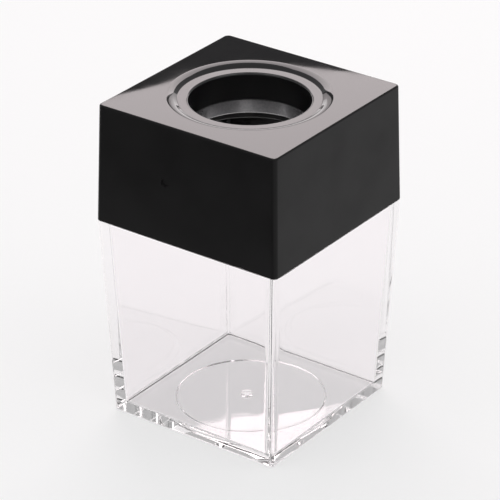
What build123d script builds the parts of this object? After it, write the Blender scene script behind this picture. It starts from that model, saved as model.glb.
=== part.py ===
from build123d import *
import os
from math import radians, tan

# Magnetic paper clip holder: a clear square base that holds the clips, and a black lid that lifts off and
# carries a ring magnet round its mouth. Millimetres, +Z up, origin under the middle of the foot, front to -Y.

# Whole holder
HOLDER_WIDTH = 42.6  # outside width of the square, where lid and base meet
CORNER_RADIUS = 0.9  # upright outside edges of lid and base
FIT_CLEARANCE = 0.08  # between the neck of the base and the inside of the lid, each side

# Clear base
BASE_HEIGHT = 42.6  # foot to the shoulder that carries the lid
BASE_DRAFT = 2.6  # degrees, each side leans out going up
FLOOR_THICKNESS = 1.8
FLOOR_EDGE_RADIUS = 0.6  # inside, where walls and floor meet
FOOT_EDGE_RADIUS = 0.4
NECK_HEIGHT = 4.5  # upstand above the shoulder, inside the lid
NECK_WALL = 0.65  # at the top of the neck, where it is thinnest
NECK_EDGE_RADIUS = 0.2
NECK_CORNER_RADIUS = 0.9
INSIDE_CORNER_RADIUS = 0.7
FOOT_RECESS_DIAMETER = 28.4  # round recess under the floor, which keeps the gate mark off the desk
FOOT_RECESS_DEPTH = 0.5
GATE_MARK_DIAMETER = 2.4  # nub left where the plastic entered the mould
GATE_MARK_HEIGHT = 0.4

# Black lid
LID_HEIGHT = 24.4
LID_DRAFT = 1.5  # degrees, each side leans in going up
LID_WALL = 1.0
LID_TOP_THICKNESS = 2.0
LID_TOP_EDGE_RADIUS = 0.35
LID_INSIDE_RADIUS = 0.5
RIM_LEAD_IN = 0.3  # chamfer inside the rim that finds the neck
MOUTH_DIAMETER = 23.5
MOUTH_EDGE_RADIUS = 0.5
RECESS_LEDGE = 2.2  # flat ring round the mouth, edge rounding included
RECESS_SLOPE = 1.4  # dished side of the recess, seen from above
RECESS_DEPTH = 0.8
RECESS_LIP_RADIUS = 3.0  # soft turn from the flat top down into the recess
RECESS_CORNER_RADIUS = 0.3  # where its dished side meets the ledge
COLLAR_DEPTH = 5.5  # black bore below the ledge, down to the magnet
COLLAR_WALL = 1.5
SLEEVE_WALL = 1.3  # wall of the magnet pocket
SLEEVE_LIP = 0.9  # sleeve below the retainer
POCKET_RIB_COUNT = 6
POCKET_RIB_WIDTH = 1.0
SIDE_MARK_DIAMETER = 1.8  # shallow moulding mark on the front of the lid
SIDE_MARK_DEPTH = 0.25
SIDE_MARK_ACROSS = 4.6  # left of the middle
SIDE_MARK_BELOW_TOP = 11.8

# Ring magnet
MAGNET_THICKNESS = 3.2
MAGNET_BAND = 3.7  # from its bore to its outside
MAGNET_SETBACK = 0.2  # its bore stands back from the mouth's
MAGNET_CHAMFER = 0.3
POCKET_CLEARANCE = 0.15  # round the magnet and the retainer, each side

# Magnet retainer
RETAINER_THICKNESS = 1.6
RETAINER_SETBACK = 1.2  # its bore stands back from the magnet's
RETAINER_CHAMFER = 0.25
SNAP_BEAD_RADIUS = 0.4
SNAP_CLEARANCE = 0.06  # round the bead in its groove

# Heights and widths that follow
lid_slope = tan(radians(LID_DRAFT))
neck_top = BASE_HEIGHT + NECK_HEIGHT
lid_top = BASE_HEIGHT + LID_HEIGHT
lid_inside_width = HOLDER_WIDTH - 2 * LID_WALL
neck_width = lid_inside_width - 2 * lid_slope * NECK_HEIGHT - 2 * FIT_CLEARANCE
inside_width = neck_width - 2 * NECK_WALL  # at the top of the neck

mouth_radius = MOUTH_DIAMETER / 2
ledge_radius = mouth_radius + RECESS_LEDGE
recess_radius = ledge_radius + RECESS_SLOPE
ledge_height = lid_top - RECESS_DEPTH
collar_end = ledge_height - COLLAR_DEPTH
collar_radius = mouth_radius + COLLAR_WALL
top_underside = lid_top - LID_TOP_THICKNESS

magnet_bore_radius = mouth_radius + MAGNET_SETBACK
magnet_radius = magnet_bore_radius + MAGNET_BAND
magnet_end = collar_end - MAGNET_THICKNESS
pocket_radius = magnet_radius + POCKET_CLEARANCE
sleeve_radius = pocket_radius + SLEEVE_WALL

retainer_bore_radius = magnet_bore_radius + RETAINER_SETBACK
retainer_radius = pocket_radius - POCKET_CLEARANCE
retainer_end = magnet_end - RETAINER_THICKNESS
bead_height = (magnet_end + retainer_end) / 2
sleeve_end = retainer_end - SLEEVE_LIP

# Clear base: the space inside it, as the mould's core would fill it
with BuildPart() as base_core:
    with BuildSketch(Plane.XY.offset(FLOOR_THICKNESS)):
        Rectangle(inside_width, inside_width)
    extrude(amount=neck_top - FLOOR_THICKNESS)
    draft(base_core.faces().filter_by(Axis.Z, reverse=True), Plane.XY.offset(neck_top), -BASE_DRAFT)
    fillet(base_core.edges().filter_by(Plane.XY, reverse=True), INSIDE_CORNER_RADIUS)
    fillet(base_core.faces().sort_by(Axis.Z)[0].edges(), FLOOR_EDGE_RADIUS)

with BuildPart() as clear_base:
    with BuildSketch(Plane.XY):
        Rectangle(HOLDER_WIDTH, HOLDER_WIDTH)
    extrude(amount=BASE_HEIGHT)
    draft(clear_base.faces().filter_by(Axis.Z, reverse=True), Plane.XY.offset(BASE_HEIGHT), -BASE_DRAFT)
    fillet(clear_base.edges().filter_by(Plane.XY, reverse=True), CORNER_RADIUS)
    fillet(clear_base.faces().sort_by(Axis.Z)[0].edges(), FOOT_EDGE_RADIUS)
    with BuildSketch(Plane.XY.offset(BASE_HEIGHT)):
        RectangleRounded(neck_width, neck_width, NECK_CORNER_RADIUS)
    extrude(amount=NECK_HEIGHT)
    add(base_core.part, mode=Mode.SUBTRACT)
    fillet(clear_base.faces().sort_by(Axis.Z)[-1].edges(), min(NECK_EDGE_RADIUS, NECK_WALL / 3))
    with BuildSketch(Plane.XY):
        Circle(FOOT_RECESS_DIAMETER / 2)
    extrude(amount=FOOT_RECESS_DEPTH, mode=Mode.SUBTRACT)
    with BuildSketch(Plane.XY.offset(FOOT_RECESS_DEPTH)):
        Circle(GATE_MARK_DIAMETER / 2)
    extrude(amount=-GATE_MARK_HEIGHT)

# Black lid: tapered shell, then the mouth and what holds the magnet
with BuildPart() as lid_cap:
    with BuildSketch(Plane.XY.offset(BASE_HEIGHT)):
        Rectangle(HOLDER_WIDTH, HOLDER_WIDTH)
    extrude(amount=LID_HEIGHT, taper=LID_DRAFT)
    fillet(lid_cap.edges().filter_by(Plane.XY, reverse=True), CORNER_RADIUS)
    fillet(lid_cap.faces().sort_by(Axis.Z)[-1].edges(), LID_TOP_EDGE_RADIUS)
    with BuildSketch(Plane.XY.offset(BASE_HEIGHT)):
        RectangleRounded(lid_inside_width, lid_inside_width, LID_INSIDE_RADIUS)
    extrude(amount=LID_HEIGHT - LID_TOP_THICKNESS, taper=LID_DRAFT, mode=Mode.SUBTRACT)
    rim_face = lid_cap.faces().filter_by(Axis.Z).sort_by(Axis.Z)[0]
    chamfer(rim_face.inner_wires()[0].edges(), RIM_LEAD_IN)

    # collar round the mouth and sleeve round the magnet
    with BuildSketch(Plane.XY.offset(collar_end)):
        Circle(collar_radius)
    extrude(amount=top_underside - collar_end)
    with BuildSketch(Plane.XY.offset(sleeve_end)):
        Circle(sleeve_radius)
        Circle(pocket_radius, mode=Mode.SUBTRACT)
    extrude(amount=top_underside - sleeve_end)

    # ribs that back the magnet, from the collar to the sleeve
    with BuildSketch(Plane.XY.offset(collar_end)):
        with PolarLocations((collar_radius + pocket_radius) / 2, POCKET_RIB_COUNT):
            Rectangle(pocket_radius - collar_radius + COLLAR_WALL, POCKET_RIB_WIDTH)
    extrude(amount=top_underside - collar_end)

    # dished recess and mouth in one turned cut
    with BuildSketch(Plane.XZ):
        with BuildLine():
            FilletPolyline(
                (0, lid_top + RECESS_DEPTH),
                (recess_radius + RECESS_SLOPE, lid_top + RECESS_DEPTH),
                (recess_radius + RECESS_LIP_RADIUS, lid_top),
                (recess_radius, lid_top),
                (ledge_radius, ledge_height),
                (mouth_radius, ledge_height),
                (mouth_radius, sleeve_end),
                (0, sleeve_end),
                radius=[0, 0, RECESS_LIP_RADIUS, RECESS_CORNER_RADIUS, MOUTH_EDGE_RADIUS, 0],
            )
            Line((0, sleeve_end), (0, lid_top + RECESS_DEPTH))
        make_face()
    revolve(axis=Axis.Z, mode=Mode.SUBTRACT)

    # groove that the retainer's bead snaps into
    with BuildSketch(Plane.XZ):
        with Locations((retainer_radius, bead_height)):
            Circle(SNAP_BEAD_RADIUS + SNAP_CLEARANCE)
    revolve(axis=Axis.Z, mode=Mode.SUBTRACT)

    # shallow round mark on the front
    side_mark_height = lid_top - SIDE_MARK_BELOW_TOP
    side_mark_face = HOLDER_WIDTH / 2 - lid_slope * (side_mark_height - BASE_HEIGHT)
    with BuildSketch(Plane.XZ.offset(side_mark_face - SIDE_MARK_DEPTH)):
        with Locations((-SIDE_MARK_ACROSS, side_mark_height)):
            Circle(SIDE_MARK_DIAMETER / 2)
    extrude(amount=LID_WALL, mode=Mode.SUBTRACT)

# Ring magnet, seated against the collar and ribs
with BuildPart() as ring_magnet:
    with BuildSketch(Plane.XY.offset(magnet_end)):
        Circle(magnet_radius)
        Circle(magnet_bore_radius, mode=Mode.SUBTRACT)
    extrude(amount=MAGNET_THICKNESS)
    chamfer(ring_magnet.edges(), MAGNET_CHAMFER)

# Magnet retainer, a ring with a bead that snaps into the sleeve
with BuildPart() as magnet_retainer:
    with BuildSketch(Plane.XY.offset(retainer_end)):
        Circle(retainer_radius)
        Circle(retainer_bore_radius, mode=Mode.SUBTRACT)
    extrude(amount=RETAINER_THICKNESS)
    chamfer(magnet_retainer.edges(), RETAINER_CHAMFER)
    with BuildSketch(Plane.XZ):
        with Locations((retainer_radius, bead_height)):
            Circle(SNAP_BEAD_RADIUS)
    revolve(axis=Axis.Z)

os.makedirs("parts", exist_ok=True)
pieces = {
    "clear_base": clear_base,
    "lid_cap": lid_cap,
    "ring_magnet": ring_magnet,
    "magnet_retainer": magnet_retainer,
}
for name, piece in pieces.items():
    piece.part.label = name
    export_step(piece.part, f"parts/{name}.step")
    print(name, "volume", round(piece.part.volume, 1), "mm3")
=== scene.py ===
# %% [markdown]
# # Magnetic paper clip holder
# A clear square box holds the clips. A black lid stands on the neck of the box, and a ring magnet round its
# mouth keeps the clips where fingers reach them. The CAD model is the frame: each piece here is modelled
# over the CAD node that it stands for, at the same sizes, and rides on the same body.

# %% Load the frame
import math

import bmesh
import bpy
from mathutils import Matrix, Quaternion, Vector


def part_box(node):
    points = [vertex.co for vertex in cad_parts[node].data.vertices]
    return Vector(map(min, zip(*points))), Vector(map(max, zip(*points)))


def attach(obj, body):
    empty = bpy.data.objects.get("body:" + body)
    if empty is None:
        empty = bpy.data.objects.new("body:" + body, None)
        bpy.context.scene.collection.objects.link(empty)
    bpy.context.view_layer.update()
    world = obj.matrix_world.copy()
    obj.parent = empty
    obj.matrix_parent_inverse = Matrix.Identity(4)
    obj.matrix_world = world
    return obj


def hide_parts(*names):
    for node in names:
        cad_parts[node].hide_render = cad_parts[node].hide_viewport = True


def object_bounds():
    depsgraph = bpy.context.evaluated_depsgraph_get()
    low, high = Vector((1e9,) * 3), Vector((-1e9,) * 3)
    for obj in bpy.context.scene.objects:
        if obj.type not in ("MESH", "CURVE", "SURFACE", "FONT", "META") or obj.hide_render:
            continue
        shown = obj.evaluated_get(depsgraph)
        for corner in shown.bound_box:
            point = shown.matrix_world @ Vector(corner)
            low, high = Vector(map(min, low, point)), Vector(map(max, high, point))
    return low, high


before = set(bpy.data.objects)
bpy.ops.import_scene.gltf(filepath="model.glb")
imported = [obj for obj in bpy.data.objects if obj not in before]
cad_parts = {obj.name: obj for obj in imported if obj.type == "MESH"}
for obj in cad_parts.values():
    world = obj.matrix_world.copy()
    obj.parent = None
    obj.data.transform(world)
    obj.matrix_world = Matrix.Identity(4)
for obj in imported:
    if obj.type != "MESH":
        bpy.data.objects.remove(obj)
cad_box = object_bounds()
print("CAD box in metres", [[round(c, 5) for c in corner] for corner in cad_box])

# %% [markdown]
# ## Sizes
# Blender works in metres and the holder was measured in millimetres, so one constant turns the one into the
# other. Heights and outside widths are read from the CAD nodes, so they can't drift away from the frame.
# Only sizes inside a node, such as a wall or an edge radius, are written here, each where it is first used.

# %% Sizes read from the frame
MM = 0.001

base_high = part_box("clear_base")[1]
lid_low, lid_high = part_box("lid_cap")
magnet_low, magnet_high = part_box("ring_magnet")
retainer_low, retainer_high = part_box("magnet_retainer")

holder_half = lid_high.x
shoulder = lid_low.z
neck_top = base_high.z
lid_top = lid_high.z
for name, height in (("shoulder", shoulder), ("neck top", neck_top), ("lid top", lid_top)):
    print(name, "at", round(height / MM, 2), "mm")

# %% [markdown]
# ## Clear box
# The box is one injection moulding in clear polystyrene, about 2 mm thick, with drafted walls so that it
# leaves the mould. Solidify could give a plain box its wall, but light bends in clear plastic, so the real
# inside, the neck and the recess under the floor each have to be there. The box is therefore one closed
# skin: a square outline is pulled along the section of the wall, as a potter pulls up clay.
#
# The outline starts as a plane whose four corners are rounded. Its face is deleted, and the long sides are
# divided until the outline has as many points as the circles that will be joined to it.

# %% Square outline
CORNER_RADIUS = 0.9 * MM
CORNER_STEPS = 8
SIDE_CUTS = 23
LOOP_POINTS = 4 * (CORNER_STEPS + 1) + 4 * SIDE_CUTS


def add_square(half_width, height):
    """Start a piece, in edit mode, from a square outline with round corners; it stays selected."""
    bpy.ops.object.select_all(action="DESELECT")
    bpy.ops.mesh.primitive_plane_add(size=2 * half_width)
    bpy.ops.object.mode_set(mode="EDIT")
    bpy.ops.transform.translate(value=(0, 0, height))
    bpy.ops.mesh.bevel(offset=CORNER_RADIUS, segments=CORNER_STEPS, affect="VERTICES")
    bpy.ops.mesh.delete(type="ONLY_FACE")
    shape = bmesh.from_edit_mesh(bpy.context.edit_object.data)
    for edge in shape.edges:
        edge.select_set(edge.calc_length() > half_width)
    bpy.ops.mesh.subdivide(number_cuts=SIDE_CUTS)
    bpy.ops.mesh.select_all(action="SELECT")


print("points in each outline", LOOP_POINTS)

# %% [markdown]
# Each pull extrudes the outline and brings it to the width and height of the next corner of the section: up
# the outside, in over the shoulder that carries the lid, up the neck, over its rim, and down inside to the
# floor. The last pull runs a little way in along the floor, so that it stays flat up to its rounded edge.

# %% Clear box: walls, neck and floor
BASE_DRAFT = math.radians(2.6)
FLOOR = 1.8 * MM
NECK_HALF = 20.102 * MM
NECK_WALL = 0.65 * MM
FLOOR_BORDER = 0.7 * MM

foot_half = holder_half - math.tan(BASE_DRAFT) * shoulder
neck_inside = NECK_HALF - NECK_WALL
floor_half = neck_inside - math.tan(BASE_DRAFT) * (neck_top - FLOOR)
floor_flat = floor_half - FLOOR_BORDER


def pull_loop(half_width, height):
    """Extrude the selected outline to a new half width and height; the new outline stays selected."""
    shape = bmesh.from_edit_mesh(bpy.context.edit_object.data)
    points = [vertex.co for vertex in shape.verts if vertex.select]
    ratio = half_width / max(point.x for point in points)
    rise = height - points[0].z
    bpy.ops.mesh.extrude_edges_move(TRANSFORM_OT_translate={"value": (0, 0, rise)})
    bpy.ops.transform.resize(value=(ratio, ratio, 1), center_override=(0, 0, 0))


add_square(foot_half, 0)
pull_loop(holder_half, shoulder)
pull_loop(NECK_HALF, shoulder)
pull_loop(NECK_HALF, neck_top)
pull_loop(neck_inside, neck_top)
pull_loop(floor_half, FLOOR)
pull_loop(floor_flat, FLOOR)
print("foot", round(2 * foot_half / MM, 2), "and floor inside", round(2 * floor_half / MM, 2), "mm wide")

# %% [markdown]
# The next steps work on single outlines of the skin. By hand they would be picked with Alt and a click. In
# code, an edge is picked by the place of its two ends: on a circle round the upright axis, or on a square.

# %% Pick edges by their place
NEAR = 0.002 * MM
CORNER_CUT = 0.35 * CORNER_RADIUS  # a round corner falls back from the square by less than this


def select_edges(test):
    """Select only the edges whose two ends both pass a test on their place, and count them."""
    mesh = bpy.context.edit_object.data
    bpy.ops.mesh.select_mode(type="EDGE")
    bpy.ops.mesh.select_all(action="DESELECT")
    shape = bmesh.from_edit_mesh(mesh)
    for edge in shape.edges:
        edge.select_set(all(test(end.co) for end in edge.verts))
    bmesh.update_edit_mesh(mesh)
    return sum(edge.select for edge in shape.edges)


def circle_at(radius, height):
    """A test for points on a circle round the upright axis."""
    return lambda point: abs(point.z - height) < NEAR and abs(point.xy.length - radius) < NEAR


def square_at(half_width, height):
    """A test for points on a square outline, its round corners included."""

    def test(point):
        reach = max(abs(point.x), abs(point.y))
        return abs(point.z - height) < NEAR and half_width - CORNER_CUT < reach < half_width + NEAR

    return test


print("edges round the foot", select_edges(square_at(foot_half, 0)))

# %% [markdown]
# Under the floor, a shallow round recess keeps the nub where the plastic entered off the desk. The nub is a
# low cone, and its slant turns light that runs along the floor up to the eye, as a white glint. All of it is
# pulled from the tip of the nub outwards. A bridge then fills the flat rim between the circle and the square
# foot with quads. Two outlines in one plane give a bridge no direction, so the circle is lowered while the
# quads are made.

# %% Clear box: recess and nub under the floor
RECESS_RADIUS = 14.2 * MM
RECESS_DEPTH = 0.5 * MM
NUB_RADIUS = 1.2 * MM
NUB_TIP_RADIUS = 0.45 * MM
NUB_HEIGHT = 0.4 * MM
BRIDGE_STEP = 0.2 * MM

nub_tip = RECESS_DEPTH - NUB_HEIGHT


def add_circle(radius, height):
    """Add a circle to the piece in hand; it stays selected."""
    bpy.ops.mesh.primitive_circle_add(vertices=LOOP_POINTS, radius=radius, location=(0, 0, height))


def bridge(radius, half_width, height):
    """Join a circle and a square outline at one height with a strip of quads."""
    lowered, square = circle_at(radius, height - BRIDGE_STEP), square_at(half_width, height)
    select_edges(circle_at(radius, height))
    bpy.ops.transform.translate(value=(0, 0, -BRIDGE_STEP))
    quads = select_edges(lambda point: lowered(point) or square(point)) // 2
    bpy.ops.mesh.bridge_edge_loops()
    select_edges(lowered)
    bpy.ops.transform.translate(value=(0, 0, BRIDGE_STEP))
    print("bridged with", quads, "quads")


add_circle(NUB_TIP_RADIUS, nub_tip)
bpy.ops.mesh.edge_face_add()
select_edges(circle_at(NUB_TIP_RADIUS, nub_tip))
pull_loop(NUB_RADIUS, RECESS_DEPTH)
pull_loop(RECESS_RADIUS, RECESS_DEPTH)
pull_loop(RECESS_RADIUS, 0)
bridge(RECESS_RADIUS, foot_half, 0)

# %% [markdown]
# Inside, over the nub, the plastic that was pushed in last left a low blister. It can hardly be felt, but it
# mirrors the softbox, and with the nub below it makes the white spot in the middle of the floor. Its rings
# follow a shallow dome from the top outwards, and a bridge fills the floor round it.

# %% Clear box: blister and floor
BLISTER_RADIUS = 1.1 * MM
BLISTER_HEIGHT = 0.07 * MM
BLISTER_RINGS = 6

steps = [ring / BLISTER_RINGS for ring in range(1, BLISTER_RINGS + 1)]
rings = [(BLISTER_RADIUS * step, FLOOR + BLISTER_HEIGHT * (1 - step**2)) for step in steps]
add_circle(*rings[0])
bpy.ops.mesh.edge_face_add()
select_edges(circle_at(*rings[0]))
for radius, height in rings[1:]:
    pull_loop(radius, height)
bridge(BLISTER_RADIUS, floor_flat, FLOOR)

# %% [markdown]
# A mould leaves no knife edges. These small radii are what catch the light as fine bright lines. The one at
# the top of the recess is wider, and draws the white circle that shows through the floor. A bevel reads the
# faces on both sides of an edge, so all faces are turned outwards first.

# %% Clear box: rounded edges
FOOT_EDGE_RADIUS = 0.4 * MM
RECESS_EDGE_RADIUS = 0.12 * MM
RECESS_TOP_RADIUS = 0.35 * MM
NUB_EDGE_RADIUS = 0.06 * MM
SHOULDER_EDGE_RADIUS = 0.12 * MM
NECK_EDGE_RADIUS = 0.2 * MM
FLOOR_EDGE_RADIUS = 0.6 * MM


def turn_outwards():
    """Make all faces of a closed skin point outwards."""
    bpy.ops.mesh.select_all(action="SELECT")
    bpy.ops.mesh.normals_make_consistent(inside=False)


def round_edge(test, distance, steps=3):
    """Bevel the edges that pass the test; the distance is what the bevel takes from each side."""
    select_edges(test)
    bpy.ops.mesh.bevel(offset=distance, segments=steps, affect="EDGES")


turn_outwards()
round_edge(square_at(foot_half, 0), FOOT_EDGE_RADIUS, steps=4)
round_edge(circle_at(RECESS_RADIUS, 0), RECESS_EDGE_RADIUS)
round_edge(circle_at(RECESS_RADIUS, RECESS_DEPTH), RECESS_TOP_RADIUS, steps=6)
round_edge(circle_at(NUB_RADIUS, RECESS_DEPTH), NUB_EDGE_RADIUS)
round_edge(circle_at(NUB_TIP_RADIUS, nub_tip), NUB_EDGE_RADIUS)
round_edge(square_at(holder_half, shoulder), SHOULDER_EDGE_RADIUS)
round_edge(square_at(NECK_HALF, neck_top), NECK_EDGE_RADIUS)
round_edge(square_at(neck_inside, neck_top), NECK_EDGE_RADIUS)
round_edge(square_at(floor_half, FLOOR), FLOOR_EDGE_RADIUS, steps=4)
print("faces after rounding", len(bmesh.from_edit_mesh(bpy.context.edit_object.data).faces))

# %% [markdown]
# To finish, doubled points are merged and the skin is shaded smooth, with weighted normals so that large flat
# faces stay flat beside their small radii. The piece then takes the place of its CAD node: it rides on the
# node's body and hides the node. A closed skin has no open edge, and its volume should be near the node's.

# %% Clear box: finished
SMOOTH_ANGLE = math.radians(35)


def finish_piece(name, body, node):
    """Close the skin, shade it, and put the piece in the place of its CAD node."""
    bpy.ops.mesh.select_all(action="SELECT")
    bpy.ops.mesh.remove_doubles(threshold=NEAR)
    turn_outwards()
    bpy.ops.object.mode_set(mode="OBJECT")
    piece = bpy.context.object
    piece.name = piece.data.name = name
    bpy.ops.object.shade_smooth_by_angle(angle=SMOOTH_ANGLE)
    bpy.ops.object.modifier_add(type="WEIGHTED_NORMAL")
    piece.modifiers[0].keep_sharp = True
    bpy.ops.object.modifier_apply(modifier=piece.modifiers[0].name)
    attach(piece, body)
    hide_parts(node)
    shape = bmesh.new()
    shape.from_mesh(piece.data)
    open_edges = sum(not edge.is_manifold for edge in shape.edges)
    volume = round(shape.calc_volume() / MM**3, 1)
    print(name, len(shape.faces), "faces,", open_edges, "open edges,", volume, "mm3")
    shape.free()
    return piece


clear_box = finish_piece("clear_box", "base", "clear_base")

# %% [markdown]
# ## Black lid
# The lid is a thin drafted shell that slips over the neck. Its flat top dips to a ledge round the mouth, and
# a collar inside leads down to the magnet. A cube with a hole would give neither the draft nor the fit, so
# the lid is pulled as the box was. The square half goes from the outline of the top down the skirt, round
# the rim with its lead-in, and up inside to the underside of the top.

# %% Black lid: skirt
LID_DRAFT = math.radians(1.5)
LID_WALL = 1.0 * MM
LID_TOP_THICKNESS = 2.0 * MM
RIM_LEAD_IN = 0.3 * MM

lid_slope = math.tan(LID_DRAFT)
top_half = holder_half - lid_slope * (lid_top - shoulder)
skirt_inside = holder_half - LID_WALL
underside = lid_top - LID_TOP_THICKNESS
underside_half = skirt_inside - lid_slope * (underside - shoulder)

add_square(top_half, lid_top)
pull_loop(holder_half, shoulder)
pull_loop(skirt_inside + RIM_LEAD_IN, shoulder)
pull_loop(skirt_inside - lid_slope * RIM_LEAD_IN, shoulder + RIM_LEAD_IN)
pull_loop(underside_half, underside)
print("lid top", round(2 * top_half / MM, 2), "mm wide")

# %% [markdown]
# The round half is pulled from a circle: down the sleeve, up the pocket with the groove that the snap ring
# clicks into, down the collar that backs the magnet, up the mouth and out over the ledge. Plastic shrinks
# over the thick ring below, so the ledge falls a hair towards the mouth. That is too little to measure, but
# a mirror doubles every tilt, and this one keeps the ledge light all round.

# %% Black lid: sleeve, pocket, collar and mouth
SLEEVE_RADIUS = 17.1 * MM
SLEEVE_LIP = 0.9 * MM
POCKET_RADIUS = 15.8 * MM
SNAP_RADIUS = 0.46 * MM
SNAP_SINK = 0.32 * MM
COLLAR_RADIUS = 13.25 * MM
MOUTH_RADIUS = 11.75 * MM
LEDGE_RADIUS = 13.95 * MM
LEDGE_FALL = 0.008 * MM
DISH_RADIUS = 15.35 * MM
DISH_DEPTH = 0.8 * MM

sleeve_end = retainer_low.z - SLEEVE_LIP
snap_height = (retainer_low.z + retainer_high.z) / 2
ledge = lid_top - DISH_DEPTH

add_circle(SLEEVE_RADIUS, underside)
pull_loop(SLEEVE_RADIUS, sleeve_end)
pull_loop(POCKET_RADIUS, sleeve_end)
pull_loop(POCKET_RADIUS, snap_height - SNAP_RADIUS)
pull_loop(POCKET_RADIUS + SNAP_SINK, snap_height)
pull_loop(POCKET_RADIUS, snap_height + SNAP_RADIUS)
pull_loop(POCKET_RADIUS, underside)
pull_loop(COLLAR_RADIUS, underside)
pull_loop(COLLAR_RADIUS, magnet_high.z)
pull_loop(MOUTH_RADIUS, magnet_high.z)
pull_loop(MOUTH_RADIUS, ledge - LEDGE_FALL)
pull_loop(LEDGE_RADIUS, ledge)
pull_loop(DISH_RADIUS, lid_top)
magnet_down = ledge - magnet_high.z
print("mouth", round(2 * MOUTH_RADIUS / MM, 2), "mm wide, magnet", round(magnet_down / MM, 2), "mm down")

# %% [markdown]
# Two bridges close the skin, one under the top and one on it, and the edges get their radii. A bevel is given
# the distance that it takes from each side. At a square edge that equals the radius. At the shallow edges of
# the dish it is the radius times the tangent of half the turn. The lip of the dish has the widest radius, and
# its broad roll is what draws a light ring round the mouth.

# %% Black lid: closed and rounded
TOP_EDGE_RADIUS = 0.35 * MM
RIM_EDGE_RADIUS = 0.12 * MM
LIP_RADIUS = 3.0 * MM
LEDGE_CORNER_RADIUS = 0.3 * MM
MOUTH_EDGE_RADIUS = 0.5 * MM

bridge(SLEEVE_RADIUS, underside_half, underside)
bridge(DISH_RADIUS, top_half, lid_top)
turn_outwards()
dish_turn = math.tan(math.atan2(DISH_DEPTH, DISH_RADIUS - LEDGE_RADIUS) / 2)
round_edge(square_at(top_half, lid_top), TOP_EDGE_RADIUS, steps=4)
round_edge(square_at(holder_half, shoulder), RIM_EDGE_RADIUS)
round_edge(circle_at(DISH_RADIUS, lid_top), LIP_RADIUS * dish_turn, steps=14)
round_edge(circle_at(LEDGE_RADIUS, ledge), LEDGE_CORNER_RADIUS * dish_turn, steps=4)
round_edge(circle_at(MOUTH_RADIUS, ledge - LEDGE_FALL), MOUTH_EDGE_RADIUS, steps=6)
print("faces after rounding", len(bmesh.from_edit_mesh(bpy.context.edit_object.data).faces))
bpy.ops.object.mode_set(mode="OBJECT")
black_lid = bpy.context.object

# %% [markdown]
# A shallow round mark on the front, left of the middle, is where the mould was plugged or vented. An inset
# would need a face of its own there, but the skirt's faces are long strips, so a Boolean cuts the mark. Its
# cutter is a round bar lying across the skirt, with a rounded inner end that leaves a soft floor.

# %% Black lid: bar that cuts the moulding mark
MARK_RADIUS = 0.9 * MM
MARK_DEPTH = 0.25 * MM
MARK_ACROSS = 4.6 * MM
MARK_BELOW_TOP = 11.8 * MM
BAR_LENGTH = 4.0 * MM
BAR_SIDES = 48

mark_height = lid_top - MARK_BELOW_TOP
mark_face = holder_half - lid_slope * (mark_height - shoulder)
bar_middle = -mark_face + MARK_DEPTH - BAR_LENGTH / 2
bpy.ops.object.select_all(action="DESELECT")
bpy.ops.mesh.primitive_cylinder_add(
    vertices=BAR_SIDES, radius=MARK_RADIUS, depth=BAR_LENGTH, rotation=(math.pi / 2, 0, 0),
    location=(-MARK_ACROSS, bar_middle, mark_height))
bar = bpy.context.object
bpy.ops.object.transform_apply(location=True, rotation=True, scale=True)
bpy.ops.object.mode_set(mode="EDIT")
round_edge(lambda point: point.y > bar_middle, MARK_DEPTH / 2)
bpy.ops.object.mode_set(mode="OBJECT")
print("mark at", round(mark_height / MM, 2), "mm, on a face", round(mark_face / MM, 2), "mm from the middle")

# %% [markdown]
# The Boolean is applied, the bar is thrown away, and the lid is finished as the box was.

# %% Black lid: finished
bpy.context.view_layer.objects.active = black_lid
bpy.ops.object.modifier_add(type="BOOLEAN")
black_lid.modifiers[0].object = bar
bpy.ops.object.modifier_apply(modifier=black_lid.modifiers[0].name)
bpy.data.objects.remove(bar)
black_lid.select_set(True)
bpy.ops.object.mode_set(mode="EDIT")
finish_piece("black_lid", "lid", "lid_cap")

# %% [markdown]
# ## Ring magnet
# The magnet is a plain ring of ferrite with small chamfers, because ferrite chips at sharp edges. A tube
# could be made from two cylinders, but a ring is most quickly turned: the outline of its section gets its
# corners cut and is spun once round the upright axis.

# %% Ring magnet
MAGNET_BORE = 11.95 * MM
MAGNET_CHAMFER = 0.3 * MM


def add_section(bore, outside, low, high, chamfer):
    """Start a piece, in edit mode, from the outline of a ring's section with its corners cut."""
    bpy.ops.object.select_all(action="DESELECT")
    bpy.ops.mesh.primitive_plane_add(size=1)
    bpy.ops.object.mode_set(mode="EDIT")
    bpy.ops.transform.resize(value=(outside - bore, high - low, 1))
    bpy.ops.transform.rotate(value=-math.pi / 2, orient_axis="X", center_override=(0, 0, 0))
    bpy.ops.transform.translate(value=((bore + outside) / 2, 0, (low + high) / 2))
    bpy.ops.mesh.bevel(offset=chamfer, segments=1, affect="VERTICES")
    bpy.ops.mesh.delete(type="ONLY_FACE")


def spin_round():
    """Spin the whole outline once round the upright axis."""
    bpy.ops.mesh.select_all(action="SELECT")
    bpy.ops.mesh.spin(steps=LOOP_POINTS, angle=2 * math.pi, center=(0, 0, 0), axis=(0, 0, 1))


add_section(MAGNET_BORE, magnet_high.x, magnet_low.z, magnet_high.z, MAGNET_CHAMFER)
spin_round()
ferrite_ring = finish_piece("ferrite_ring", "lid", "ring_magnet")

# %% [markdown]
# ## Snap ring
# Something has to hold the magnet up from below. A thin ring does it, with a bead round its outside that
# clicks into the groove of the pocket. The outer edge of the section is divided, and its middle is pulled out
# to make the bead before the section is spun.

# %% Snap ring
RETAINER_BORE = 13.15 * MM
RETAINER_RADIUS = 15.65 * MM
RETAINER_CHAMFER = 0.25 * MM
BEAD_CUTS = 3
BEAD_HEIGHT = 0.28 * MM

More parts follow.
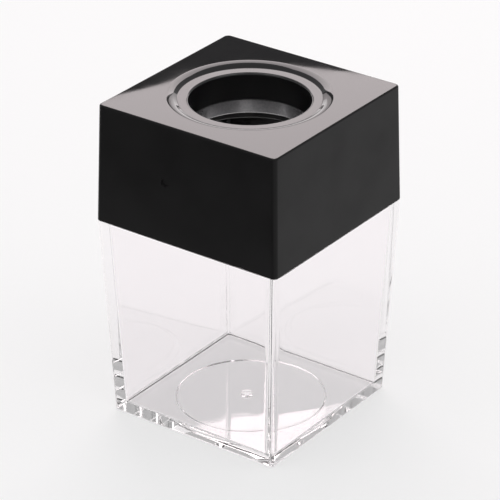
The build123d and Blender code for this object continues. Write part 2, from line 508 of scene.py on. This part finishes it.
add_section(RETAINER_BORE, RETAINER_RADIUS, retainer_low.z, retainer_high.z, RETAINER_CHAMFER)
select_edges(lambda point: point.x > RETAINER_RADIUS - NEAR)
bpy.ops.mesh.subdivide(number_cuts=BEAD_CUTS)
select_edges(lambda point: point.x > RETAINER_RADIUS - NEAR and abs(point.z - snap_height) < SNAP_RADIUS)
bpy.ops.transform.translate(value=(BEAD_HEIGHT, 0, 0))
spin_round()
snap_ring = finish_piece("snap_ring", "lid", "magnet_retainer")

# %% [markdown]
# ## Finishes
# Each material is a small tree of nodes. One function adds a node with its settings and links, so a tree
# reads from its patterns down to its shader. Patterns read Object coordinates, in metres, so the scale of a
# pattern is one over its real size. Colours are written as sRGB hex values, as a designer names them. The
# sockets of a Mix node share their names, so its two colours and their mix are found by number.

# %% Helpers for materials
MIX_A, MIX_B, MIXED = 6, 7, 2


def linear(hex_colour):
    """An sRGB hex value as linear red, green, blue and alpha, by the formula of the sRGB standard."""
    channels = [int(hex_colour[at : at + 2], 16) / 255 for at in (1, 3, 5)]
    return [c / 12.92 if c <= 0.04045 else ((c + 0.055) / 1.055) ** 2.4 for c in channels] + [1.0]


def per(size):
    """The scale of a pattern whose features are this many millimetres wide."""
    return 1 / (size * MM)


def add_node(tree, kind, settings=None, inputs=None):
    """Add a node: settings are its own options, inputs are values or the sockets that feed it."""
    made = tree.nodes.new(kind)
    for option, value in (settings or {}).items():
        setattr(made, option, value)
    for name, value in (inputs or {}).items():
        if isinstance(value, bpy.types.NodeSocket):
            tree.links.new(value, made.inputs[name])
        else:
            made.inputs[name].default_value = value
    return made


def start_material(name):
    """A new material with an empty tree, and the Object coordinates that its patterns read."""
    material = bpy.data.materials.new(name)
    material.use_nodes = True
    tree = material.node_tree
    tree.nodes.clear()
    return material, tree, add_node(tree, "ShaderNodeTexCoord").outputs["Object"]


print("mid grey is", round(linear("#808080")[0], 3), "in linear light")

# %% [markdown]
# ### Polished black ABS, on top of the lid
# The mould was polished where the top shows, so the top mirrors the studio. It isn't quite flat: plastic
# shrinks unevenly over the sleeve and the collar below, and hands leave faint smears and hairlines. A micron
# of that makes a reflected edge waver, so it goes into the bump, and the smears go into the roughness.

# %% Polished black ABS
# A deep black mirror; the edge of a reflection wavers and is sharper in one place than in another.
polished_abs, tree, place = start_material("polished_black_abs")
shrinkage = add_node(tree, "ShaderNodeTexNoise", inputs={"Vector": place, "Scale": per(11), "Detail": 1.0})
along = add_node(tree, "ShaderNodeMapping", inputs={
    "Vector": place, "Rotation": (0, 0, math.radians(62)), "Scale": (per(0.35), per(16), per(0.35))})
hairlines = add_node(tree, "ShaderNodeTexNoise", inputs={
    "Vector": along.outputs[0], "Scale": 1.0, "Detail": 2.0})
smears = add_node(tree, "ShaderNodeTexNoise", inputs={"Vector": place, "Scale": per(7), "Detail": 5.0})
dullness = add_node(tree, "ShaderNodeMapRange", inputs={
    "Value": smears.outputs["Fac"], "From Min": 0.35, "From Max": 0.7, "To Min": 0.02, "To Max": 0.045})
waves = add_node(tree, "ShaderNodeBump", inputs={
    "Height": shrinkage.outputs["Fac"], "Distance": 0.0012 * MM})
scratched = add_node(tree, "ShaderNodeBump", inputs={
    "Height": hairlines.outputs["Fac"], "Distance": 0.0001 * MM, "Normal": waves.outputs[0]})
shader = add_node(tree, "ShaderNodeBsdfPrincipled", inputs={
    "Base Color": linear("#161517"), "Roughness": dullness.outputs[0], "IOR": 1.54,
    "Normal": scratched.outputs[0]})
add_node(tree, "ShaderNodeOutputMaterial", inputs={"Surface": shader.outputs[0]})
print(polished_abs.name, len(tree.nodes), "nodes")

# %% [markdown]
# ### Satin black ABS, on the sides and inside
# The sides carry the fine grain of a spark-eroded mould. Its pits shade each other, so the sides shine far
# less than a flat surface would, and they stay a deeper black than the top.

# %% Satin black ABS
# A soft black without a mirror image. The real grain is near 0.05 mm, too fine to show, and is drawn at 0.3.
satin_abs, tree, place = start_material("satin_black_abs")
grain = add_node(tree, "ShaderNodeTexNoise", inputs={"Vector": place, "Scale": per(0.3), "Detail": 2.0})
patches = add_node(tree, "ShaderNodeTexNoise", inputs={"Vector": place, "Scale": per(9), "Detail": 3.0})
dullness = add_node(tree, "ShaderNodeMapRange", inputs={
    "Value": patches.outputs["Fac"], "From Min": 0.3, "From Max": 0.7, "To Min": 0.36, "To Max": 0.46})
eroded = add_node(tree, "ShaderNodeBump", inputs={"Height": grain.outputs["Fac"], "Distance": 0.006 * MM})
shader = add_node(tree, "ShaderNodeBsdfPrincipled", inputs={
    "Base Color": linear("#0b0a0b"), "Roughness": dullness.outputs[0], "IOR": 1.54,
    "Specular IOR Level": 0.165, "Normal": eroded.outputs[0]})
add_node(tree, "ShaderNodeOutputMaterial", inputs={"Surface": shader.outputs[0]})
print(satin_abs.name, len(tree.nodes), "nodes")

# %% [markdown]
# ### Clear polystyrene
# General purpose polystyrene is as clear as glass and bends light more than most plastics do. The flow of the
# plastic leaves the walls some microns out of true, and use leaves faint scuffs.

# %% Clear polystyrene
# Water-clear walls with bright edges, a breath of warm rose in the thickness, and a haze where it is scuffed.
clear_ps, tree, place = start_material("clear_polystyrene")
flow = add_node(tree, "ShaderNodeTexNoise", inputs={"Vector": place, "Scale": per(14), "Detail": 1.0})
uneven = add_node(tree, "ShaderNodeBump", inputs={"Height": flow.outputs["Fac"], "Distance": 0.02 * MM})
scuffs = add_node(tree, "ShaderNodeTexNoise", inputs={"Vector": place, "Scale": per(3), "Detail": 8.0})
haze = add_node(tree, "ShaderNodeMapRange", inputs={
    "Value": scuffs.outputs["Fac"], "From Min": 0.55, "From Max": 0.8, "To Min": 0.005, "To Max": 0.06})
shader = add_node(tree, "ShaderNodeBsdfPrincipled", inputs={
    "Base Color": linear("#fefcfd"), "Roughness": haze.outputs[0], "IOR": 1.59,
    "Transmission Weight": 1.0, "Normal": uneven.outputs[0]})
add_node(tree, "ShaderNodeOutputMaterial", inputs={"Surface": shader.outputs[0]})
print(clear_ps.name, len(tree.nodes), "nodes")

# %% [markdown]
# ### Sintered ferrite
# Ferrite is a pressed and fired ceramic. Its bore was ground, which left it smooth. It isn't a metal, but its
# index is so high that it shines almost like one.

# %% Sintered ferrite
# Dark grey with a dull metallic sheen, speckled by its grains and faintly pitted where grains came away.
ferrite, tree, place = start_material("sintered_ferrite")
grains = add_node(tree, "ShaderNodeTexNoise", inputs={"Vector": place, "Scale": per(0.4), "Detail": 4.0})
tone = add_node(tree, "ShaderNodeMix", {"data_type": "RGBA"}, {
    "Factor": grains.outputs["Fac"], MIX_A: linear("#464547"), MIX_B: linear("#626164")})
pits = add_node(tree, "ShaderNodeTexVoronoi", inputs={"Vector": place, "Scale": per(0.5)})
pitted = add_node(tree, "ShaderNodeBump", inputs={"Height": pits.outputs["Distance"], "Distance": 0.003 * MM})
shader = add_node(tree, "ShaderNodeBsdfPrincipled", inputs={
    "Base Color": tone.outputs[MIXED], "Roughness": 0.18, "IOR": 2.5, "Normal": pitted.outputs[0]})
add_node(tree, "ShaderNodeOutputMaterial", inputs={"Surface": shader.outputs[0]})
print(ferrite.name, len(tree.nodes), "nodes")

# %% [markdown]
# ### Black polypropylene
# A snap ring has to bend as its bead goes in, and ABS might crack, so the ring is polypropylene.

# %% Black polypropylene
# A waxy black with a blurred shine, a little cloudy from the flow of the plastic.
waxy_pp, tree, place = start_material("black_polypropylene")
flow = add_node(tree, "ShaderNodeTexNoise", inputs={"Vector": place, "Scale": per(4), "Detail": 3.0})
cloudy = add_node(tree, "ShaderNodeMix", {"data_type": "RGBA"}, {
    "Factor": flow.outputs["Fac"], MIX_A: linear("#0d0d0d"), MIX_B: linear("#131314")})
wax = add_node(tree, "ShaderNodeMapRange", inputs={
    "Value": flow.outputs["Fac"], "From Min": 0.3, "From Max": 0.7, "To Min": 0.42, "To Max": 0.52})
shader = add_node(tree, "ShaderNodeBsdfPrincipled", inputs={
    "Base Color": cloudy.outputs[MIXED], "Roughness": wax.outputs[0], "IOR": 1.49,
    "Specular IOR Level": 0.25})
add_node(tree, "ShaderNodeOutputMaterial", inputs={"Surface": shader.outputs[0]})
print(waxy_pp.name, len(tree.nodes), "nodes")

# %% [markdown]
# ### Finishes on the pieces
# Three pieces have one finish each. The lid is satin all over and gets a second slot for its polished top:
# the flat, the dish and the edge of the mouth. Its outer edge stays satin: the polishing stopped there.

# %% Finishes on the pieces
FACING_UP = 0.2

finishes = ((clear_box, clear_ps), (ferrite_ring, ferrite), (snap_ring, waxy_pp), (black_lid, satin_abs))
for piece, material in finishes:
    piece.data.materials.append(material)
black_lid.data.materials.append(polished_abs)

bpy.ops.object.select_all(action="DESELECT")
bpy.context.view_layer.objects.active = black_lid
black_lid.select_set(True)
bpy.ops.object.mode_set(mode="EDIT")
bpy.ops.mesh.select_mode(type="FACE")
bpy.ops.mesh.select_all(action="DESELECT")
shape = bmesh.from_edit_mesh(black_lid.data)
for face in shape.faces:
    spot = face.calc_center_median()
    inside_edge = max(abs(spot.x), abs(spot.y)) < top_half - TOP_EDGE_RADIUS
    face.select_set(inside_edge and spot.z > ledge - MOUTH_EDGE_RADIUS and face.normal.z > FACING_UP)
bmesh.update_edit_mesh(black_lid.data)
black_lid.active_material_index = 1
bpy.ops.object.material_slot_assign()
bpy.ops.object.mode_set(mode="OBJECT")
print("polished faces", sum(face.material_index for face in black_lid.data.polygons))

# %% [markdown]
# ## Studio
# The picture looks down on the front corner of the holder through a long lens. The camera is placed by the
# angles of that view, and the image is taken to be square.

# %% Camera
AZIMUTH, ELEVATION = math.radians(36), math.radians(27.6)
CAMERA_DISTANCE = 577 * MM
LENS = 212.0
UP = Vector((0, 0, 1))

behind = Vector((-math.sin(AZIMUTH), math.cos(AZIMUTH), 0))
to_right = Vector((math.cos(AZIMUTH), math.sin(AZIMUTH), 0))
towards_camera = math.sin(ELEVATION) * UP - math.cos(ELEVATION) * behind
camera_data = bpy.data.cameras.new("camera")
camera_data.lens = LENS
camera = bpy.data.objects.new("camera", camera_data)
camera.location = (cad_box[0] + cad_box[1]) / 2 + CAMERA_DISTANCE * towards_camera
camera.rotation_euler = towards_camera.to_track_quat("Z", "Y").to_euler()
bpy.context.scene.collection.objects.link(camera)
bpy.context.scene.camera = camera
bpy.context.scene.view_settings.view_transform = "Standard"
print("camera at", [round(c / MM) for c in camera.location], "mm")

# %% [markdown]
# Light that enters the edge of a clear wall bounces along inside it many times before it leaves. With
# Blender's usual four glossy bounces it is lost and the edges go black, so the limits are raised.

# %% Light paths
LIGHT_BOUNCES = 32

cycles = bpy.context.scene.cycles
cycles.max_bounces = cycles.glossy_bounces = cycles.transmission_bounces = LIGHT_BOUNCES
print("light may bounce", cycles.max_bounces, "times")

# %% [markdown]
# ### Floor
# The holder stands on a sheet of board. A real foot touches its table in a few points only, so a hair of air
# is left under it. Without the air the plastic and the board would join, and the rim would look wet.

# %% Floor
AIR_FILM = 0.05 * MM
FLOOR_RADIUS = 2.5
FLOOR_SIDES = 96

bpy.ops.object.select_all(action="DESELECT")
bpy.ops.mesh.primitive_circle_add(
    vertices=FLOOR_SIDES, radius=FLOOR_RADIUS, fill_type="NGON", location=(0, 0, -AIR_FILM))
bpy.ops.object.transform_apply(location=True)
floor = bpy.context.object
floor.name = "floor"
print("floor", 2 * FLOOR_RADIUS, "m across")

# %% [markdown]
# The board is white, but lamps that are strong enough to show it as white would bleach the holder. So the
# board also glows by itself, only for the rays that show it: to the camera, in a mirror or through clear
# plastic. The glow is a share of what is seen, and the rest is the lit board with the holder's shadow.

# %% Matt white board
# Matt white without a shine, faintly mottled by its fibres.
BOARD_GLOW = 0.6

white_board, tree, place = start_material("matt_white_board")
fibres = add_node(tree, "ShaderNodeTexNoise", inputs={"Vector": place, "Scale": per(0.8), "Detail": 3.0})
paper = add_node(tree, "ShaderNodeMix", {"data_type": "RGBA"}, {
    "Factor": fibres.outputs["Fac"], MIX_A: linear("#eeedee"), MIX_B: linear("#f3f2f3")})
matt = add_node(tree, "ShaderNodeBsdfPrincipled", inputs={
    "Base Color": paper.outputs[MIXED], "Roughness": 0.9, "Specular IOR Level": 0.1})
glow = add_node(tree, "ShaderNodeEmission", inputs={"Color": linear("#ffffff"), "Strength": 1.0})
ray = add_node(tree, "ShaderNodeLightPath").outputs
mirrored = add_node(tree, "ShaderNodeMath", {"operation": "MAXIMUM"}, {
    0: ray["Is Glossy Ray"], 1: ray["Is Transmission Ray"]})
seen = add_node(tree, "ShaderNodeMath", {"operation": "MAXIMUM"}, {
    0: ray["Is Camera Ray"], 1: mirrored.outputs[0]})
share = add_node(tree, "ShaderNodeMath", {"operation": "MULTIPLY"}, {0: seen.outputs[0], 1: BOARD_GLOW})
shader = add_node(tree, "ShaderNodeMixShader", inputs={
    0: share.outputs[0], 1: matt.outputs[0], 2: glow.outputs[0]})
add_node(tree, "ShaderNodeOutputMaterial", inputs={"Surface": shader.outputs[0]})
floor.data.materials.append(white_board)
print(white_board.name, len(tree.nodes), "nodes")

# %% [markdown]
# ### Softbox behind
# The polished top is a mirror, so what stands behind the holder decides its look. A softbox there turns most
# of it silver grey and leaves the back corner black. The rays of a mirror image rise as steeply as the camera
# looks down, so the place where the grey should end gives the height of the lamp's lower edge. The lamp is
# turned a little, which slants that edge across the lid, and it leans towards the holder. It stands so near
# that the floor of the box, which lies lower, mirrors it in the front corner only and stays grey behind. Its
# cloth is a breath rosier than white, which gives the grey of the top and the clear walls their tint.

# %% Softbox behind
GREY_ENDS = 10.5 * MM
BACK_DISTANCE = 0.36
BACK_TURN, BACK_LEAN = math.radians(15.5), math.radians(30)
BACK_WIDTH, BACK_HEIGHT = 0.325, 0.24
BACK_RADIANCE = 2.5
WHITE_CLOTH, ROSY_CLOTH = "#ffffff", "#fff5f6"
WATTS_FOR_WHITE = 4  # for each square metre of a lamp, at a radiance of 1


def add_softbox(name, cloth, place, facing, width, height, radiance):
    """A flat rectangular lamp behind cloth; radiance is how bright its surface looks from any side."""
    lamp = bpy.data.lights.new(name, "AREA")
    lamp.color = linear(cloth)[:3]
    lamp.shape = "RECTANGLE"
    lamp.size, lamp.size_y = width, height
    lamp.energy = WATTS_FOR_WHITE * radiance * width * height
    softbox = bpy.data.objects.new(name, lamp)
    softbox.location = place
    softbox.rotation_euler = (-facing).to_track_quat("Z", "Y").to_euler()
    softbox.visible_camera = False
    bpy.context.scene.collection.objects.link(softbox)
    print(name, "at", [round(c, 2) for c in place], "m, radiance", radiance)
    return softbox


camera_rise = camera.location.z - lid_top
camera_reach = CAMERA_DISTANCE * math.cos(ELEVATION) + GREY_ENDS
edge_rise = BACK_DISTANCE * camera_rise / camera_reach
lower_edge = (GREY_ENDS + BACK_DISTANCE) * behind + (lid_top + edge_rise) * UP
turned = AZIMUTH + BACK_TURN
level = Vector((math.sin(turned), -math.cos(turned), 0))
back_up = math.sin(BACK_LEAN) * level + math.cos(BACK_LEAN) * UP
back_facing = math.cos(BACK_LEAN) * level - math.sin(BACK_LEAN) * UP
back_place = lower_edge + BACK_HEIGHT / 2 * back_up
add_softbox("back_softbox", ROSY_CLOTH, back_place, back_facing, BACK_WIDTH, BACK_HEIGHT, BACK_RADIANCE)

# %% [markdown]
# ### Softboxes above
# Two softboxes high on the left and the right fill the scene. They stand forward of the holder, where neither
# the top nor the dish mirrors them, and so high that the lid's shadow stays near the foot.

# %% Softboxes above
FILL_REACH, FILL_FORWARD, FILL_RISE = 0.36, 0.25, 0.9
FILL_SIZE = 0.6
FILL_RADIANCE = 1.0

for name, side in (("left_softbox", -1), ("right_softbox", 1)):
    fill_place = side * FILL_REACH * to_right - FILL_FORWARD * behind + FILL_RISE * UP
    add_softbox(name, WHITE_CLOTH, fill_place, -fill_place, FILL_SIZE, FILL_SIZE, FILL_RADIANCE)

# %% [markdown]
# ### Lit backdrop
# The sides of the dish and the front edge of the top slope, so they mirror what stands lower than the
# softbox. An empty room there would turn them black. A wide sheet of cloth, lit from behind, makes them grey
# instead, and it ends a little below the softbox, so that a thin dark line is left round the dish. Only
# mirrors and clear plastic see the sheet, because as a lamp for the floor it would bleach the shadow.

# %% Lit backdrop
BACKDROP_DISTANCE = 0.55
BACKDROP_WIDTH = 0.8
BACKDROP_RISE = math.radians(20.5)
BACKDROP_RADIANCE = 1.05

backdrop_height = lid_top + BACKDROP_DISTANCE * math.tan(BACKDROP_RISE)
backdrop_place = BACKDROP_DISTANCE * behind + backdrop_height / 2 * UP
backdrop = add_softbox(
    "backdrop", ROSY_CLOTH, backdrop_place, -behind, BACKDROP_WIDTH, backdrop_height, BACKDROP_RADIANCE)
backdrop.visible_diffuse = False

# %% [markdown]
# ### Dark cards
# Black plastic shows what it faces, so photographers put dark cards where it should stay black. A grey card
# far behind shows in the gap between the backdrop and the softbox. It keeps the back corner of the top dark,
# and a line round the dish. A black card lies on the floor in front of the left side. Only reflections see
# the cards.

# %% Dark cards
CARD_TURN, CARD_RISE, CARD_ROLL = AZIMUTH + math.radians(13), math.radians(18), math.radians(16)
CARD_DISTANCE = 1.9
CARD_WIDTH, CARD_HEIGHT = 1.45, 0.42
FRONT_CARD_PLACE = Vector((-0.085, -0.17, 0.001))
FRONT_CARD_WIDTH, FRONT_CARD_LENGTH = 0.27, 0.176


def add_card(name, colour, place, facing, roll, width, height):
    """A flat felt card, matt from every side, that the camera doesn't see and that casts no shadow."""
    bpy.ops.object.select_all(action="DESELECT")
    bpy.ops.mesh.primitive_plane_add(size=1)
    card = bpy.context.object
    card.name = name
    card.location = place
    card.rotation_euler = (facing.to_track_quat("Z", "Y") @ Quaternion(UP, roll)).to_euler()
    card.scale = (width, height, 1)
    bpy.ops.object.transform_apply(location=True, rotation=True, scale=True)
    card.visible_camera = card.visible_diffuse = card.visible_transmission = card.visible_shadow = False
    felt, tree, _ = start_material(name + "_felt")
    shader = add_node(tree, "ShaderNodeBsdfPrincipled", inputs={
        "Base Color": linear(colour), "Roughness": 1.0, "Specular IOR Level": 0.0})
    add_node(tree, "ShaderNodeOutputMaterial", inputs={"Surface": shader.outputs[0]})
    card.data.materials.append(felt)
    print(name, width, "by", height, "m")


card_way = Vector((-math.sin(CARD_TURN), math.cos(CARD_TURN), math.tan(CARD_RISE))).normalized()
card_place = lid_top * UP + CARD_DISTANCE * card_way
add_card("back_card", "#7c7c7c", card_place, -card_way, CARD_ROLL, CARD_WIDTH, CARD_HEIGHT)
add_card("front_card", "#0a0a0a", FRONT_CARD_PLACE, UP, 0, FRONT_CARD_WIDTH, FRONT_CARD_LENGTH)

# %% [markdown]
# ### Room
# The room itself is the world: pale near the horizon, where a white floor meets white walls, and dimmer
# above.

# %% World
HORIZON, CEILING = math.sin(math.radians(5)), math.sin(math.radians(25))
HORIZON_GLOW, CEILING_GLOW = 0.9, 0.45

world = bpy.data.worlds.new("white_room")
bpy.context.scene.world = world
world.use_nodes = True
tree = world.node_tree
tree.nodes.clear()
way = add_node(tree, "ShaderNodeTexCoord").outputs["Generated"]
rise = add_node(tree, "ShaderNodeSeparateXYZ", inputs={"Vector": way}).outputs["Z"]
glow = add_node(tree, "ShaderNodeMapRange", {"interpolation_type": "SMOOTHSTEP"}, {
    "Value": rise, "From Min": HORIZON, "From Max": CEILING, "To Min": HORIZON_GLOW, "To Max": CEILING_GLOW})
backing = add_node(tree, "ShaderNodeBackground", inputs={
    "Color": linear("#ffffff"), "Strength": glow.outputs[0]})
add_node(tree, "ShaderNodeOutputWorld", inputs={"Surface": backing.outputs[0]})
print(world.name, len(tree.nodes), "nodes")
